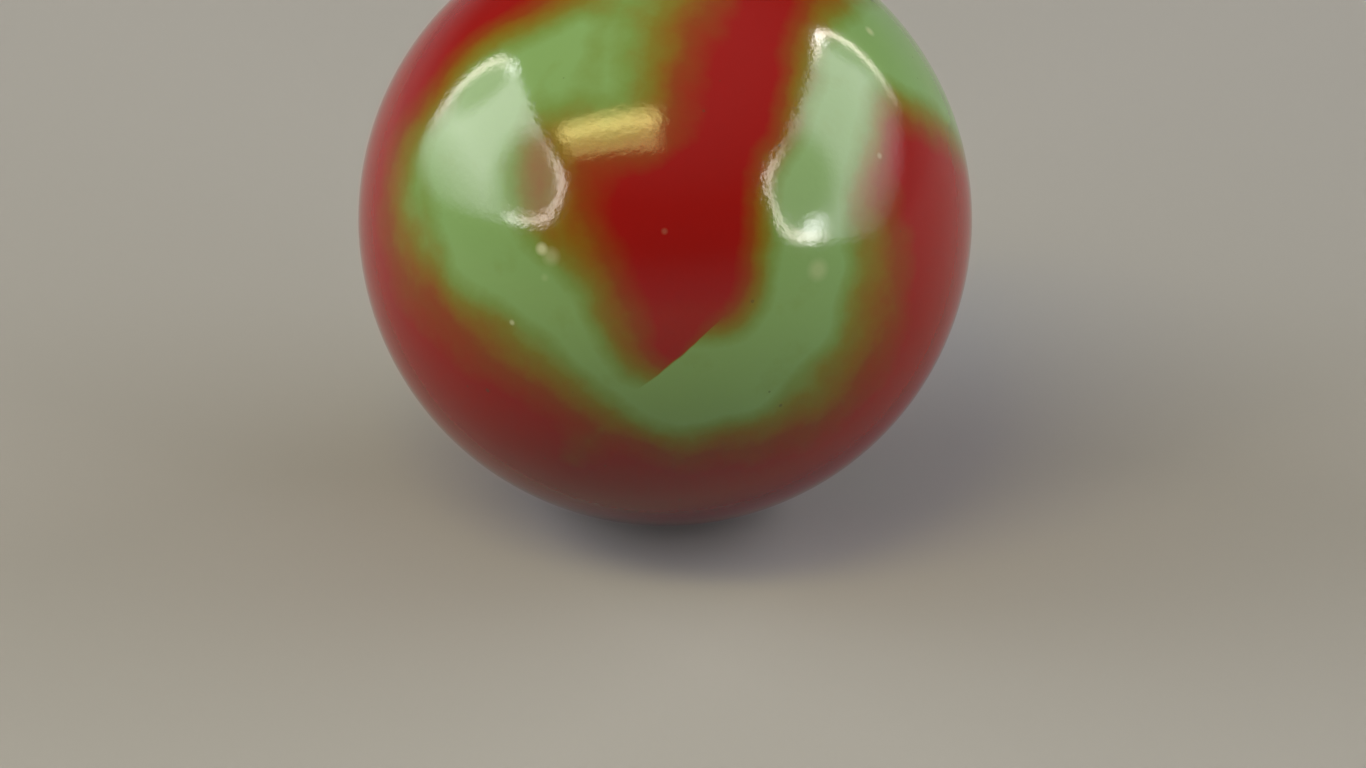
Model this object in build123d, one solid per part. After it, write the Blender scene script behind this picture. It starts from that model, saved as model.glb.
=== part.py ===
from build123d import *
import os

# A solid glass marble: one ball, cut off hot from a rod of two glasses and rolled
# round before it set. The red glass and the jade green stream folded into it are
# fused, so they are one solid. The origin is the ball's centre, and +Z is up.

# Driving dimension, in millimetres.
# The outside diameter of a common play marble is 5/8 inch, to the nearest whole millimetre.
ball_diameter = 16.0


def half_round_profile(diameter):
    """Return the half disc that sweeps out the whole ball when it turns about its flat side."""
    radius = diameter / 2
    bottom = (0, -radius)
    side = (radius, 0)
    top = (0, radius)
    with BuildSketch(Plane.XZ) as profile:
        with BuildLine():
            ThreePointArc(bottom, side, top)
            Line(top, bottom)
        make_face()
    return profile.sketch


def marble():
    """Return the ball as one solid, turned from its half round profile."""
    return revolve(half_round_profile(ball_diameter), axis=Axis.Z, revolution_arc=360)


os.makedirs("parts", exist_ok=True)
export_step(marble(), "parts/marble.step")
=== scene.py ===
import math

import bmesh
import bpy
import numpy as np
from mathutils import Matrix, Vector, noise


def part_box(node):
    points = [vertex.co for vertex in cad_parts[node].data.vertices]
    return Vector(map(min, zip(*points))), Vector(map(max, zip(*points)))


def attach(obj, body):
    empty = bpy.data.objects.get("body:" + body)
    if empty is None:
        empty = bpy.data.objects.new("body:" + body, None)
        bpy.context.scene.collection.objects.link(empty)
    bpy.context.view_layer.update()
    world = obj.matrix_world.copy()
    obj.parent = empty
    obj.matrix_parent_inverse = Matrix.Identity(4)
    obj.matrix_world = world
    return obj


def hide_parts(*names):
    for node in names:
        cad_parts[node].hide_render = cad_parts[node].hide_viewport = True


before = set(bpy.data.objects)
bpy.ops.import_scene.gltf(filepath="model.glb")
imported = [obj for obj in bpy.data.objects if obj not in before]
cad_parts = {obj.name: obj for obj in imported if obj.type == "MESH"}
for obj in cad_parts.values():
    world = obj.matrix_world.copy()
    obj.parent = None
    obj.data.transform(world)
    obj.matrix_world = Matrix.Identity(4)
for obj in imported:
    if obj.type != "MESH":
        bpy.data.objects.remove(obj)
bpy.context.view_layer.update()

# The ball. The real piece is a solid glass marble 16 mm across, cut hot from a rod of
# two glasses and rolled round in a groove before it set, so its skin is fire-polished
# and true to a few thousandths of a millimetre.
lowest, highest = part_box("marble")
ball_centre = (lowest + highest) / 2
ball_radius = (highest.z - lowest.z) / 2

facets_per_edge = 128
ripple_height = 3.0e-6
ripples_per_radius = 3.2


def rolled_ball(name):
    """Return the ball as an even net of quads, with the faint ripple that rolling leaves in it."""
    net = bmesh.new()
    bmesh.ops.create_cube(net, size=2)
    bmesh.ops.subdivide_edges(net, edges=net.edges[:], cuts=facets_per_edge - 1, use_grid_fill=True)
    for corner in net.verts:
        even = Vector([math.tan(part * math.pi / 4) for part in corner.co])
        outward = even.normalized()
        ripple = noise.noise(outward * ripples_per_radius) * ripple_height
        corner.co = ball_centre + outward * (ball_radius - ripple_height + ripple)
    for facet in net.faces:
        facet.smooth = True
    bmesh.ops.recalc_face_normals(net, faces=net.faces[:])
    mesh = bpy.data.meshes.new(name)
    net.to_mesh(mesh)
    net.free()
    ball = bpy.data.objects.new(name, mesh)
    bpy.context.scene.collection.objects.link(ball)
    return ball


glass_ball = rolled_ball("glass_ball")

# The glass. Opaque red glass is the body of the ball. A stream of milky jade green glass
# was folded through it while both were soft, and where the two have run together they
# turn brown, ochre and olive. Each stream is set out along its middle line on the ball.


class Wire:
    """A socket of a node tree. Sums on wires add the Math nodes that work them out."""

    def __init__(self, tree, socket=None):
        self.tree = tree
        self.socket = socket

    def node(self, kind, settings=None, sockets=None, out=0):
        """Add a node, set it up, then fill or link its sockets, and return one of its outputs."""
        made = self.tree.nodes.new(kind)
        for name, value in (settings or {}).items():
            if name == "stops":
                ramp = made.color_ramp
                while len(ramp.elements) < len(value):
                    ramp.elements.new(0.5)
                for stop, (place, colour) in zip(ramp.elements, value):
                    stop.position = place
                    stop.color = (*colour, 1)
            else:
                setattr(made, name, value)
        for name, value in (sockets or {}).items():
            if isinstance(value, Wire):
                self.tree.links.new(value.socket, made.inputs[name])
            else:
                made.inputs[name].default_value = value
        return Wire(self.tree, made.outputs[out]) if made.outputs else None

    def maths(self, operation, *values, clamp=False):
        """Add a Math node that works on these numbers or wires."""
        settings = {"operation": operation, "use_clamp": clamp}
        return self.node("ShaderNodeMath", settings, dict(enumerate(values)))

    def vector(self, operation, *values, out=0):
        """Add a Vector Math node that works on these vectors or wires."""
        settings = {"operation": operation}
        return self.node("ShaderNodeVectorMath", settings, dict(enumerate(values)), out)

    def __add__(self, other):
        return self.maths("ADD", self, other)

    def __radd__(self, other):
        return self.maths("ADD", other, self)

    def __sub__(self, other):
        return self.maths("SUBTRACT", self, other)

    def __rsub__(self, other):
        return self.maths("SUBTRACT", other, self)

    def __mul__(self, other):
        return self.maths("MULTIPLY", self, other)

    def __rmul__(self, other):
        return self.maths("MULTIPLY", other, self)

    def __truediv__(self, other):
        return self.maths("DIVIDE", self, other)

    def __abs__(self):
        return self.maths("ABSOLUTE", self)

    def clamped(self):
        """Return this number kept between 0 and 1."""
        return self.maths("ADD", self, 0.0, clamp=True)

    def dot(self, other):
        """Return how far this vector reaches along another."""
        return self.vector("DOT_PRODUCT", self, other, out="Value")

    def distance(self, other):
        """Return how far this place is from another."""
        return self.vector("DISTANCE", self, other, out="Value")

    def more(self, other, rounding):
        """Return the larger of two numbers, rounded off where they are nearly alike."""
        return self.maths("SMOOTH_MAX", self, other, rounding)

    def mixed(self, mask, colour):
        """Return this colour with another laid over it where the mask is 1.

        A Mix node's sockets share their names, so they go by number: 0 is the mask, 6 and 7
        are the two colours, and the mixed colour comes out at 2.
        """
        settings = {"data_type": "RGBA", "clamp_factor": True}
        return self.node("ShaderNodeMix", settings, {0: mask, 6: self, 7: colour}, out=2)


def on_ball(longitude, latitude):
    """Return the way out from the ball's centre to a place on its skin, given in degrees."""
    turn = math.radians(longitude)
    rise = math.radians(latitude)
    level = math.cos(rise)
    return np.array((math.sin(turn) * level, -math.cos(turn) * level, math.sin(rise)))


# Each row is a longitude and a latitude, the stream's half width there and the depth of
# its soft edge, all in degrees of the ball's curve. Longitude 0 faces the front.
left_arm = [
    (-34, 62, 8.6, 6), (-48, 43, 12.6, 5.5), (-48.6, 31, 14, 5.5), (-36.8, 16.8, 12, 5),
    (-20.8, 9, 9.3, 4.5), (-10.8, -3.6, 6, 4), (2, -12, 6.2, 3.5),
]
top_patch = [
    (-22, 74, 8, 9), (-22, 62, 8.5, 8), (-17, 50.5, 8.2, 8), (-32, 50, 9, 6), (-30, 57, 8, 6),
]
flap = [(-10, -7, 4, 3.5), (3, -5.5, 12.5, 3.5), (13, -4.5, 11.5, 3.5)]
right_arm = [
    (15.5, -5.2, 10.8, 3.8), (25.2, 4.8, 10.8, 3.8), (28.8, 14.6, 10.6, 3.5),
    (31.8, 27.5, 9.9, 3.6), (43.2, 38.2, 8.6, 4), (58, 46.6, 9, 4.5), (72, 46.8, 10.2, 5),
    (84, 41, 14.4, 5), (100, 30, 18, 5), (116, 17, 15, 5), (132, 4, 12, 4.5), (148, -8, 10, 4.5),
]
over_the_top = [
    (-168, 22, 11, 5), (-172, 40, 11, 6), (-172, 56, 10, 6.5), (-150, 72, 9.5, 7),
    (-75, 83, 9, 8), (-22, 74, 9.5, 9),
]
back_bend = [(148, -8, 10, 4.5), (164, -15, 9, 4.5), (-178, -24, 7, 4)]
back_tuck = [(166, -17, 9, 4.5), (180, -9, 12, 4), (-170, 4, 13, 4), (-168, 22, 11, 5)]
stray = [
    (-166, -22, 7.5, 5), (-150, -31, 8, 5), (-134, -32, 7.5, 5), (-119, -25, 6.5, 5),
    (-109, -12, 5, 5), (-106, 3, 3, 5), (-108, 12, 0, 5),
]
wisp = [(84, -46, 1.5, 5), (100, -56, 3, 5), (130, -60, 4, 5), (160, -48, 6, 5), (172, -26, 8, 5)]
drip = [(-11, -14, -1, 6), (-15, -19, -2.4, 6), (-19, -25, -5, 7)]
stain = [(-26, 38, 0, 9), (-24, 28, 0, 9), (-20, 20, 0, 9), (-14, 13, 0, 8), (-7, 5, -1.2, 6)]

# Along the outside of the fold the green runs out thin and slowly into the red.
outer_haze = [
    (-58, 29, 7, 8), (-57, 21, 6.5, 8), (-51, 13, 4.5, 10), (-39.4, 9.8, 4, 11),
    (-25.3, 3.6, 4, 10), (-14, -6.4, 2.4, 7), (-6.5, -10.5, 3, 6), (5, -16.6, 2.4, 7),
    (17, -13.4, 3.4, 8), (26.3, -7.4, 5.5, 10.5), (32.1, 0.1, 5.5, 10.5), (35.6, 9.3, 5.5, 10),
    (39, 18, 5, 9), (41, 27, 1, 9),
]
joining = 0.9
well_outside = -9.0
halves_meet = 0.25

drift_size = 0.005
drifts_per_radius = 2.3
shiver_size = 0.004
shivers_per_radius = 9.0


def merged(first, second):
    """Return the larger of two depths, rounded off where they are nearly alike."""
    alike = np.maximum(joining - np.abs(first - second), 0) / joining
    return np.maximum(first, second) + alike ** 3 * joining / 6


def depth_in(points):
    """Return how far inside a stream each place is: 1 or more is all green, -1 or less all red."""
    deepest = np.full(len(places), well_outside)
    for first, second in zip(points, points[1:]):
        start = on_ball(*first[:2])
        run = on_ball(*second[:2]) - start
        share = np.clip((places - start) @ run / (run @ run), 0, 1)
        away = np.linalg.norm(places - start - share[:, None] * run, axis=1)
        half_width = first[2] + share * (second[2] - first[2])
        soft_edge = first[3] + share * (second[3] - first[3])
        deepest = merged(deepest, (half_width - np.degrees(away)) / soft_edge)
    return deepest


def wavered(corner):
    """Shift a place on the skin a little, as the streams wavered while they ran."""
    outward = (corner - ball_centre).normalized()
    drift = noise.noise_vector(outward * drifts_per_radius) * drift_size
    shiver = noise.noise_vector(outward * shivers_per_radius) * shiver_size
    return outward + drift + shiver


def mark(name, depths):
    """Keep a depth at every corner of the ball's net, under a name that the material reads."""
    kept = glass_ball.data.attributes.new(name, "FLOAT", "POINT")
    kept.data.foreach_set("value", depths.astype(np.float32))


places = np.array([wavered(corner.co) for corner in glass_ball.data.vertices])
behind = np.clip(places[:, 1] / halves_meet + 0.5, 0, 1)
front_under = merged(depth_in(left_arm), depth_in(top_patch))
mark("under_fold", front_under + (depth_in(back_bend) - front_under) * behind)
front_over = depth_in(flap)
mark("over_fold", front_over + (depth_in(back_tuck) - front_over) * behind)
running_on = depth_in(right_arm)
for strand in (over_the_top, stray, wisp, drip, stain, outer_haze):
    running_on = merged(running_on, depth_in(strand))
mark("through", running_on)

glass = bpy.data.materials.new("swirled_glass")
glass.use_nodes = True
glass.node_tree.nodes.clear()
bench = Wire(glass.node_tree)
outward = bench.vector("NORMALIZE", bench.node("ShaderNodeTexCoord", out="Object"))
under, over, through = [
    bench.node("ShaderNodeAttribute", {"attribute_name": name}, out="Fac")
    for name in ("under_fold", "over_fold", "through")
]

# The two folds are where the ball was cut from the rod: one stream is laid over the other
# with a sharp edge, which runs on through the two places given here and wavers a little.
front_fold = [(-4.2, -5.5), (7.2, 5.6)]
back_fold = [(178, -12), (168, 2)]
fold_softness = 0.5
wavers_per_radius = 7.0
waver_size = 0.026

wavers = {"Vector": outward, "Scale": wavers_per_radius, "Detail": 2.0}
waver = bench.node("ShaderNodeTexNoise", {}, wavers, out="Color")
waver = bench.vector("SUBTRACT", waver, (0.5, 0.5, 0.5))
wavering = bench.vector("MULTIPLY_ADD", waver, (waver_size,) * 3, outward)


def fold_side(fold):
    """Return 0 on one side of a fold's sharp edge and 1 on the other."""
    first, second = [on_ball(*end) for end in fold]
    across = np.cross(second, first)
    across = across / np.linalg.norm(across)
    beyond = wavering.dot(across) * (math.degrees(1) / fold_softness)
    return (beyond + 0.5).clamped()


rearward = (outward.dot((0, 1, 0)) * (1 / halves_meet) + 0.5).clamped()
side = fold_side(front_fold)
side = side + (fold_side(back_fold) - side) * rearward
greenness = through.more(under + (over - under) * side, joining)

# The green is a little cloudy.
fullest = 1.38
cloudiness = 1.15
clouds = {"Vector": outward, "Scale": 5.0, "Detail": 5.0, "Roughness": 0.6}
cloud = bench.node("ShaderNodeTexNoise", {}, clouds)
capped = greenness.maths("MINIMUM", greenness, fullest)
greenness = capped + (cloud - 0.5) * cloudiness

red = (0.266, 0.0044, 0.0023)
brown = (0.220, 0.043, 0.0033)
ochre = (0.200, 0.104, 0.005)
olive = (0.176, 0.160, 0.015)
leaf = (0.160, 0.258, 0.057)
jade = (0.190, 0.335, 0.112)
least = -1.3
most = 1.5
stops = [(-1.15, red), (-0.45, brown), (-0.05, ochre), (0.35, olive), (0.8, leaf), (1.3, jade)]
stops = [((depth - least) / (most - least), colour) for depth, colour in stops]
share_green = (greenness - least) / (most - least)
colour = bench.node("ShaderNodeValToRGB", {"stops": stops}, {"Fac": share_green})

# Small faults sit in the skin. Each row is a painted glint, a pale speck painted where a small pit in
# the skin catches the light: its longitude and latitude, its size in degrees and how pale it is. A
# scatter of dark grit lies between them.
painted_glint_colour = (0.52, 0.55, 0.34, 1)
painted_glint_edge = 1.5
painted_glints = [
    (-24.3, 19.6, 0.95, 0.8), (-22.2, 18.6, 1.4, 0.3), (-23, 14.5, 0.6, 0.15),
    (-29, 4.6, 0.45, 0.6), (30, 14.5, 1.7, 0.28), (79, 48, 0.9, 0.5), (0, 25, 0.5, 0.1),
    (52, 30, 0.5, 0.3), (-140, 35, 0.8, 0.6), (158, 20, 0.7, 0.5), (-95, -20, 0.6, 0.3),
    (118, -18, 0.6, 0.4),
]
# Lay each painted glint on the glass colour as a pale speck.
for longitude, latitude, size, paleness in painted_glints:
    away = outward.distance(on_ball(longitude, latitude))
    nearness = painted_glint_edge - away * (math.degrees(1) / size)
    colour = colour.mixed(nearness.clamped() * paleness, painted_glint_colour)

grit_colour = (0.05, 0.045, 0.02, 1)
grit_per_radius = 13.0
grit_patches_per_radius = 6.0
grit_free = 0.42
grit_growth = 0.28
grit_sharpness = 40
grit_strength = 0.45
from_grit = bench.node("ShaderNodeTexVoronoi", {}, {"Vector": outward, "Scale": grit_per_radius})
patches = {"Vector": outward, "Scale": grit_patches_per_radius, "Detail": 0.0}
grit_here = bench.node("ShaderNodeTexNoise", {}, patches)
grit_size = (grit_here - grit_free).clamped() * grit_growth
grit_mask = ((grit_size - from_grit) * grit_sharpness).clamped() * grit_strength
colour = colour.mixed(grit_mask, grit_colour)

# The polish has a fine orange-peel ripple, which breaks up the edges of what it reflects.
peel_per_radius = 45.0
peel_height = 3.4e-6
polish_roughness = 0.09
glass_index = 1.52
peel_look = {"Vector": outward, "Scale": peel_per_radius, "Detail": 3.0}
peel = bench.node("ShaderNodeTexNoise", {}, peel_look)
skin = bench.node("ShaderNodeBump", {}, {"Strength": 1.0, "Distance": peel_height, "Height": peel})

finish = {"Base Color": colour, "Roughness": polish_roughness, "IOR": glass_index, "Normal": skin}
shader = bench.node("ShaderNodeBsdfPrincipled", {}, finish)
bench.node("ShaderNodeOutputMaterial", {}, {"Surface": shader})
glass_ball.data.materials.append(glass)

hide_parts("marble")
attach(glass_ball, "root")

# The floor. A plain pale sheet under the ball. Well away from it the sheet thins out to
# nothing, so that it meets the room's own paleness with no line between them. Less light
# comes up from it than its paleness would send, so that the ball's underside stays deep.
floor_radius = 0.5
floor_sides = 96
floor_colour = (0.34, 0.34, 0.34, 1)
bounce_colour = (0.10, 0.10, 0.10, 1)
thins_from = 0.07
thins_to = 0.22

floor_net = bmesh.new()
rim_of_floor = {"segments": floor_sides, "radius": floor_radius}
bmesh.ops.create_circle(floor_net, cap_ends=True, cap_tris=True, **rim_of_floor)
for corner in floor_net.verts:
    corner.co.z = lowest.z
floor_mesh = bpy.data.meshes.new("floor")
floor_net.to_mesh(floor_mesh)
floor_net.free()
floor = bpy.data.objects.new("floor", floor_mesh)
bpy.context.scene.collection.objects.link(floor)

pale = bpy.data.materials.new("pale_floor")
pale.use_nodes = True
pale.node_tree.nodes.clear()
sheet = Wire(pale.node_tree)
point = sheet.node("ShaderNodeNewGeometry")
underside = sheet.node("ShaderNodeNewGeometry", out="Backfacing")
from_ball = point.distance(tuple(ball_centre))
thinness = ((from_ball - thins_from) / (thins_to - thins_from)).clamped()
seen_straight = sheet.node("ShaderNodeLightPath", out="Is Camera Ray")
seen_reflected = sheet.node("ShaderNodeLightPath", out="Is Glossy Ray")
seen_through = sheet.node("ShaderNodeLightPath", out="Is Transmission Ray")
seen = (seen_straight + seen_reflected + seen_through).clamped()
tones = {0: seen, 6: bounce_colour, 7: floor_colour}
tone = sheet.node("ShaderNodeMix", {"data_type": "RGBA"}, tones, out=2)
matt = sheet.node("ShaderNodeBsdfDiffuse", {}, {"Color": tone})
clear = sheet.node("ShaderNodeBsdfTransparent")
unseen = thinness.maths("MAXIMUM", thinness, underside)
shown = sheet.node("ShaderNodeMixShader", {}, {0: unseen, 1: matt, 2: clear})
sheet.node("ShaderNodeOutputMaterial", {}, {"Surface": shown})
floor.data.materials.append(pale)

# The light. Two tall soft panels are set at the ball's left and right, each a white screen
# with a warm rim that glows most at its ends. Places are in shares of their distance from
# the ball: along is to the rear, and height is up.
lamp_away = 0.22

# A lamp of this many watts to the square metre glows as brightly as its nodes say.
watts_for_plain_glow = 4

panel_front = -1.05
panel_rear = 1.0
panel_top = 1.02
panel_base = -0.08
panel_reach = 1.35
panel_rounding = 0.35

foot_slope = (0, -0.32, -0.95)
foot_rounding = 0.4
foot_fade = 0.38

rim_width = 0.06
rim_radiance = 9.5
rim_tint = (1.0, 0.83, 0.72)
front_rim_from = -0.45
rear_rim_from = 0.35
rim_growth = 3
rear_rim_growth = 4

front_pocket_middle = (-0.592, 0.621)
front_pocket_closeness = (2.4, 2.4)
front_pocket_depth = 0.75
rear_pocket_height = 0.652
rear_pocket_closeness = (5.0, 3.3)
rear_pocket_depth = 0.6
pocket_edge = 1.15
pocket_sharpness = 2

hot_foot_middle = (-0.64, 0.245)
hot_foot_closeness = (5.0, 8.0)
hot_foot_radiance = 12
hot_corner_height = 0.95
hot_corner_closeness = (8.0, 8.0)
hot_corner_radiance = 9


def in_lamp_shares(tree):
    """Return where a place on a lamp is, from the ball's centre, in shares of the lamp's distance."""
    point = tree.node("ShaderNodeNewGeometry")
    return tree.vector("MULTIPLY_ADD", point, (1 / lamp_away,) * 3, tuple(-ball_centre / lamp_away))


def from_oval(point, middle, closeness):
    """Return how far a place on a panel is from an oval spot's middle, where 1 is the spot's edge."""
    along_scale, height_scale = closeness
    drawn_in = point.vector("MULTIPLY", point, (0, along_scale, height_scale))
    return drawn_in.distance((0, middle[0] * along_scale, middle[1] * height_scale))


def pocket_dimming(from_middle, depth):
    """Return how much of a screen's light is left in and around a dim pocket."""
    return 1 - ((pocket_edge - from_middle) * pocket_sharpness).clamped() * depth


def screen_glow(lamp, radiance, rear_edge, foot_edge, hot_corner_along, rear_pocket_along, rim_from):
    """Make a panel's lamp glow as its screen does, dimmer in a pocket near each end.

    rear_edge is that edge's lean, reach and rounding, and foot_edge is its reach and lean.
    """
    rear_lean, rear_reach, rear_rounding = rear_edge
    foot_reach, foot_lean = foot_edge
    lamp.use_nodes = True
    lamp.node_tree.nodes.clear()
    screen = Wire(lamp.node_tree)
    point = screen.vector("MULTIPLY", in_lamp_shares(screen), (0, 1, 1))
    along = point.dot((0, 1, 0))
    height = point.dot((0, 0, 1))

    foot = point.dot(foot_slope) - foot_reach
    rear = point.dot((0, math.cos(rear_lean), -math.sin(rear_lean))) - rear_reach
    outside = (panel_front - along).more(height - panel_top, panel_rounding)
    outside = outside.more(rear, rear_rounding)
    outside = outside.more(along - panel_rear, panel_rounding)
    outside = outside.more(foot, foot_rounding)
    inside = (outside * (-1 / rim_width)).clamped()

    rim = (1 - abs(outside + rim_width) * (1 / rim_width)).clamped()
    front_end = ((front_rim_from - along) * rim_growth).clamped()
    rear_end = ((along - rear_rim_from) * rear_rim_growth).clamped()
    rear_end = rear_end * ((height - rim_from) * rim_growth).clamped()
    rim = rim * (front_end + rear_end) * inside * rim_radiance

    from_front_pocket = from_oval(point, front_pocket_middle, front_pocket_closeness)
    rear_pocket_middle = (rear_pocket_along, rear_pocket_height)
    from_rear_pocket = from_oval(point, rear_pocket_middle, rear_pocket_closeness)
    pockets = pocket_dimming(from_front_pocket, front_pocket_depth)
    pockets = pockets * pocket_dimming(from_rear_pocket, rear_pocket_depth)
    fading_foot = ((height - (along + panel_base) * foot_lean) / foot_fade).clamped()

    from_hot_foot = from_oval(point, hot_foot_middle, hot_foot_closeness)
    hot_foot = (1 - from_hot_foot).clamped() * hot_foot_radiance
    hot_corner_middle = (hot_corner_along, hot_corner_height)
    from_hot_corner = from_oval(point, hot_corner_middle, hot_corner_closeness)
    hot_corner = (1 - from_hot_corner).clamped() * hot_corner_radiance

    screen_part = inside * (pockets * fading_foot * radiance + hot_corner + hot_foot)
    light = screen.vector("MULTIPLY_ADD", rim, rim_tint, screen_part)
    glow = screen.node("ShaderNodeEmission", {}, {"Color": light})
    screen.node("ShaderNodeOutputLight", {}, {"Surface": glow})


def soft_panel(name, side):
    """Put a soft panel at one side of the ball, facing it; side is -1 for left and 1 for right."""
    lamp = bpy.data.lights.new(name, "AREA")
    lamp.shape = "RECTANGLE"
    lamp.size = 2 * panel_reach * lamp_away
    lamp.size_y = panel_reach * lamp_away
    lamp.energy = watts_for_plain_glow * lamp.size * lamp.size_y
    panel = bpy.data.objects.new(name, lamp)
    bpy.context.scene.collection.objects.link(panel)
    panel.location = ball_centre + Vector((side, 0, panel_base + panel_reach / 2)) * lamp_away
    panel.rotation_euler = (math.radians(90), 0, math.radians(90 * side))
    panel.visible_camera = False
    return lamp


screen_glow(
    soft_panel("left_panel", -1),
    radiance=4.2,
    rear_edge=(0.245, 0.47, 0.75),
    foot_edge=(-0.045, 0),
    hot_corner_along=0.38,
    rear_pocket_along=0.40,
    rim_from=0.2,
)
screen_glow(
    soft_panel("right_panel", 1),
    radiance=2.85,
    rear_edge=(0.59, 0.46, 0.4),
    foot_edge=(0.09, 0.35),
    hot_corner_along=0.76,
    rear_pocket_along=0.8,
    rim_from=0.2,
)

# A small warm strip lamp hangs over the ball, a little to its left. It has two tubes side
# by side: each row is a tube's place along, its half width and its radiance.
strip_place = Vector((-0.44, -0.58, 1))
strip_length = 1.0
strip_width = 0.42
strip_tint = (1.0, 0.82, 0.30)
tubes = [(-0.50, 0.15, 10.0), (-0.69, 0.12, 4.0)]
tube_half_length = 0.45
tube_end_sharpness = 4

strip = bpy.data.lights.new("warm_strip", "AREA")
strip.shape = "RECTANGLE"
strip.size = strip_length * lamp_away
strip.size_y = strip_width * lamp_away
strip.energy = watts_for_plain_glow * strip.size * strip.size_y
strip.color = strip_tint
warm_strip = bpy.data.objects.new("warm_strip", strip)
bpy.context.scene.collection.objects.link(warm_strip)
warm_strip.location = ball_centre + strip_place * lamp_away
warm_strip.visible_camera = False

strip.use_nodes = True
strip.node_tree.nodes.clear()
fitting = Wire(strip.node_tree)
point = in_lamp_shares(fitting)
along = point.dot((0, 1, 0))
from_middle = abs(point.dot((1, 0, 0)) - strip_place.x)
tube_end = (1 - from_middle * (1 / tube_half_length)).clamped() * tube_end_sharpness
level = 0.0
for place, half_width, radiance in tubes:
    level = level + (1 - abs(along - place) * (1 / half_width)).clamped() * radiance
glow = fitting.node("ShaderNodeEmission", {}, {"Color": level * tube_end.clamped()})
fitting.node("ShaderNodeOutputLight", {}, {"Surface": glow})

# The room is as pale as the floor along the horizon, dim above that and paler overhead.
pale_grey = (0.26, 0.26, 0.255)
dim_grey = (0.08, 0.08, 0.08)
overhead_grey = (0.25, 0.25, 0.25)
wall_stops = [(0.5, pale_grey), (0.63, dim_grey), (0.76, dim_grey), (0.95, overhead_grey)]
room = bpy.data.worlds.new("room")
bpy.context.scene.world = room
room.use_nodes = True
room.node_tree.nodes.clear()
walls = Wire(room.node_tree)
rise = walls.node("ShaderNodeTexCoord").dot((0, 0, 0.5)) + 0.5
wall_colour = walls.node("ShaderNodeValToRGB", {"stops": wall_stops}, {"Fac": rise})
backdrop = walls.node("ShaderNodeBackground", {}, {"Color": wall_colour})
walls.node("ShaderNodeOutputWorld", {}, {"Surface": backdrop})

# The camera, placed from the photo: the ball's outline there is a circle of 307 pixels
# with its middle at (665.2, 219.2), seen from 28.3 degrees above the level.
photo_width = 1366
photo_height = 768
outline_across = 665.2
outline_down = 219.2
outline_radius = 307.0
camera_rise = math.radians(28.3)
camera_away = 0.220

focal_pixels = outline_radius / math.tan(math.asin(ball_radius / camera_away))
metres_per_pixel = camera_away / focal_pixels
to_right = Vector((1, 0, 0))
to_top = Vector((0, math.sin(camera_rise), math.cos(camera_rise)))
towards = Vector((0, -math.cos(camera_rise), math.sin(camera_rise)))
aim = ball_centre + to_right * (photo_width / 2 - outline_across) * metres_per_pixel
aim = aim - to_top * (photo_height / 2 - outline_down) * metres_per_pixel

eye = bpy.data.cameras.new("camera")
eye.sensor_width = 36
eye.lens = focal_pixels / photo_width * eye.sensor_width
eye.clip_start = 0.01
eye.clip_end = 5
camera = bpy.data.objects.new("camera", eye)
bpy.context.scene.collection.objects.link(camera)
camera.location = aim + towards * camera_away
camera.rotation_mode = "QUATERNION"
camera.rotation_quaternion = (-towards).to_track_quat("-Z", "Y")
bpy.context.scene.camera = camera
bpy.context.scene.view_settings.view_transform = "Standard"
